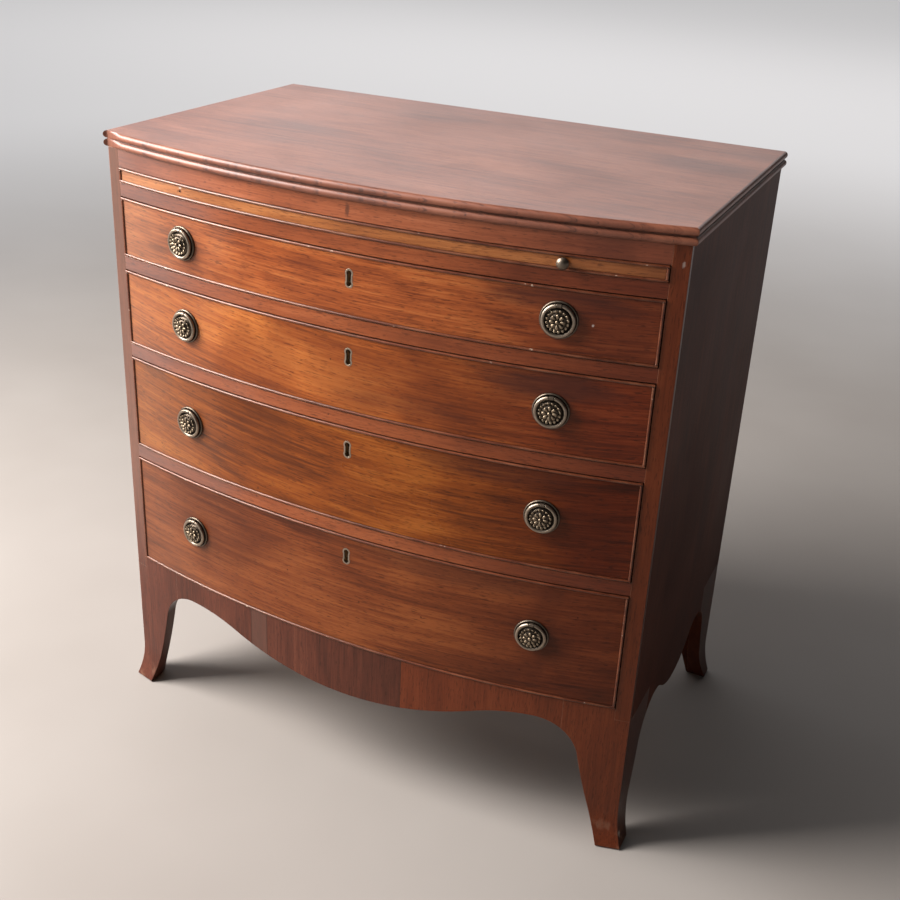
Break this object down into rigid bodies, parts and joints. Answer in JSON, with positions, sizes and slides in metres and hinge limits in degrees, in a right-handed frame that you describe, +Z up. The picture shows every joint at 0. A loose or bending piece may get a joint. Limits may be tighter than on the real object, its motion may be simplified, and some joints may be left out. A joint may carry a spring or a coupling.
{
  "type": "bow front chest of drawers",
  "caption": "Bow front chest of drawers with a double-reed top, a pull-out brushing slide, cock-beaded drawers with ring handles and locks, a shaped apron and splayed bracket feet.",
  "frame": {"origin": "on the floor under the middle of the chest, half way between the front of the top and its back edge", "axes": "+Z up, +X to the right as seen from the front, +Y from the front to the back"},
  "size_m": [0.85, 0.535, 0.9078],
  "materials": {
    "carcass_veneer": "satin polished veneer",
    "front_veneer": "satin polished veneer",
    "beading": "worn satin",
    "inner_wood": "bare, darkened with age",
    "drawer_lining": "bare, darkened with age",
    "brass": "aged, rubbed bright on the high places"
  },
  "bodies": {
    "carcass": {"top": "carcass_veneer", "left_side": "carcass_veneer", "right_side": "carcass_veneer", "stiles": "carcass_veneer", "frieze_rail": "carcass_veneer", "slide_rail": "carcass_veneer", "drawer_dividers": "carcass_veneer", "dust_boards": "inner_wood", "runners": "inner_wood", "drawer_stops": "inner_wood", "bottom_board": "inner_wood", "back_boards": "inner_wood", "apron": "carcass_veneer", "side_skirts": "carcass_veneer", "front_left_foot": "carcass_veneer", "front_right_foot": "carcass_veneer", "rear_left_foot": "carcass_veneer", "rear_right_foot": "carcass_veneer", "glue_blocks": "inner_wood"},
    "brushing_slide": {"slide_board": "carcass_veneer", "slide_front": "front_veneer", "slide_beading": "beading", "slide_knob": "brass"},
    "drawer_1": {"drawer_1_front": "front_veneer", "drawer_1_cockbeads": "beading", "drawer_1_box": "drawer_lining", "drawer_1_bottom": "drawer_lining", "drawer_1_lock": "brass", "drawer_1_handle_plates": "brass"},
    "drawer_1_lock_bolt": {"drawer_1_lock_bolt": "brass"},
    "drawer_1_left_ring": {"drawer_1_left_ring": "brass"},
    "drawer_1_right_ring": {"drawer_1_right_ring": "brass"},
    "drawer_2": {"drawer_2_front": "front_veneer", "drawer_2_cockbeads": "beading", "drawer_2_box": "drawer_lining", "drawer_2_bottom": "drawer_lining", "drawer_2_lock": "brass", "drawer_2_handle_plates": "brass"},
    "drawer_2_lock_bolt": {"drawer_2_lock_bolt": "brass"},
    "drawer_2_left_ring": {"drawer_2_left_ring": "brass"},
    "drawer_2_right_ring": {"drawer_2_right_ring": "brass"},
    "drawer_3": {"drawer_3_front": "front_veneer", "drawer_3_cockbeads": "beading", "drawer_3_box": "drawer_lining", "drawer_3_bottom": "drawer_lining", "drawer_3_lock": "brass", "drawer_3_handle_plates": "brass"},
    "drawer_3_lock_bolt": {"drawer_3_lock_bolt": "brass"},
    "drawer_3_left_ring": {"drawer_3_left_ring": "brass"},
    "drawer_3_right_ring": {"drawer_3_right_ring": "brass"},
    "drawer_4": {"drawer_4_front": "front_veneer", "drawer_4_cockbeads": "beading", "drawer_4_box": "drawer_lining", "drawer_4_bottom": "drawer_lining", "drawer_4_lock": "brass", "drawer_4_handle_plates": "brass"},
    "drawer_4_lock_bolt": {"drawer_4_lock_bolt": "brass"},
    "drawer_4_left_ring": {"drawer_4_left_ring": "brass"},
    "drawer_4_right_ring": {"drawer_4_right_ring": "brass"}
  },
  "joints": [
    {"name": "brushing_slide_pull", "type": "slide", "parent": "carcass", "child": "brushing_slide", "axis": [0, -1, 0], "range_m": [0, 0.25]},
    {"name": "drawer_1_pull", "type": "slide", "parent": "carcass", "child": "drawer_1", "axis": [0, -1, 0], "range_m": [0, 0.3]},
    {"name": "drawer_1_left_ring_swing", "type": "hinge", "parent": "drawer_1", "child": "drawer_1_left_ring", "pos_m": [-0.27384, -0.24238, 0.79801], "axis": [-0.9858, 0.1676, 0], "range_deg": [0, 100]},
    {"name": "drawer_1_right_ring_swing", "type": "hinge", "parent": "drawer_1", "child": "drawer_1_right_ring", "pos_m": [0.27384, -0.24238, 0.79801], "axis": [-0.9858, -0.1676, 0], "range_deg": [0, 100]},
    {"name": "drawer_1_bolt_throw", "type": "slide", "parent": "drawer_1", "child": "drawer_1_lock_bolt", "axis": [0, 0, 1], "range_m": [0, 0.008]},
    {"name": "drawer_2_pull", "type": "slide", "parent": "carcass", "child": "drawer_2", "axis": [0, -1, 0], "range_m": [0, 0.3]},
    {"name": "drawer_2_left_ring_swing", "type": "hinge", "parent": "drawer_2", "child": "drawer_2_left_ring", "pos_m": [-0.27384, -0.24238, 0.67924], "axis": [-0.9858, 0.1676, 0], "range_deg": [0, 100]},
    {"name": "drawer_2_right_ring_swing", "type": "hinge", "parent": "drawer_2", "child": "drawer_2_right_ring", "pos_m": [0.27384, -0.24238, 0.67924], "axis": [-0.9858, -0.1676, 0], "range_deg": [0, 100]},
    {"name": "drawer_2_bolt_throw", "type": "slide", "parent": "drawer_2", "child": "drawer_2_lock_bolt", "axis": [0, 0, 1], "range_m": [0, 0.008]},
    {"name": "drawer_3_pull", "type": "slide", "parent": "carcass", "child": "drawer_3", "axis": [0, -1, 0], "range_m": [0, 0.3]},
    {"name": "drawer_3_left_ring_swing", "type": "hinge", "parent": "drawer_3", "child": "drawer_3_left_ring", "pos_m": [-0.27384, -0.24238, 0.53085], "axis": [-0.9858, 0.1676, 0], "range_deg": [0, 100]},
    {"name": "drawer_3_right_ring_swing", "type": "hinge", "parent": "drawer_3", "child": "drawer_3_right_ring", "pos_m": [0.27384, -0.24238, 0.53085], "axis": [-0.9858, -0.1676, 0], "range_deg": [0, 100]},
    {"name": "drawer_3_bolt_throw", "type": "slide", "parent": "drawer_3", "child": "drawer_3_lock_bolt", "axis": [0, 0, 1], "range_m": [0, 0.008]},
    {"name": "drawer_4_pull", "type": "slide", "parent": "carcass", "child": "drawer_4", "axis": [0, -1, 0], "range_m": [0, 0.3]},
    {"name": "drawer_4_left_ring_swing", "type": "hinge", "parent": "drawer_4", "child": "drawer_4_left_ring", "pos_m": [-0.27384, -0.24238, 0.34882], "axis": [-0.9858, 0.1676, 0], "range_deg": [0, 100]},
    {"name": "drawer_4_right_ring_swing", "type": "hinge", "parent": "drawer_4", "child": "drawer_4_right_ring", "pos_m": [0.27384, -0.24238, 0.34882], "axis": [-0.9858, -0.1676, 0], "range_deg": [0, 100]},
    {"name": "drawer_4_bolt_throw", "type": "slide", "parent": "drawer_4", "child": "drawer_4_lock_bolt", "axis": [0, 0, 1], "range_m": [0, 0.008]}
  ]
}
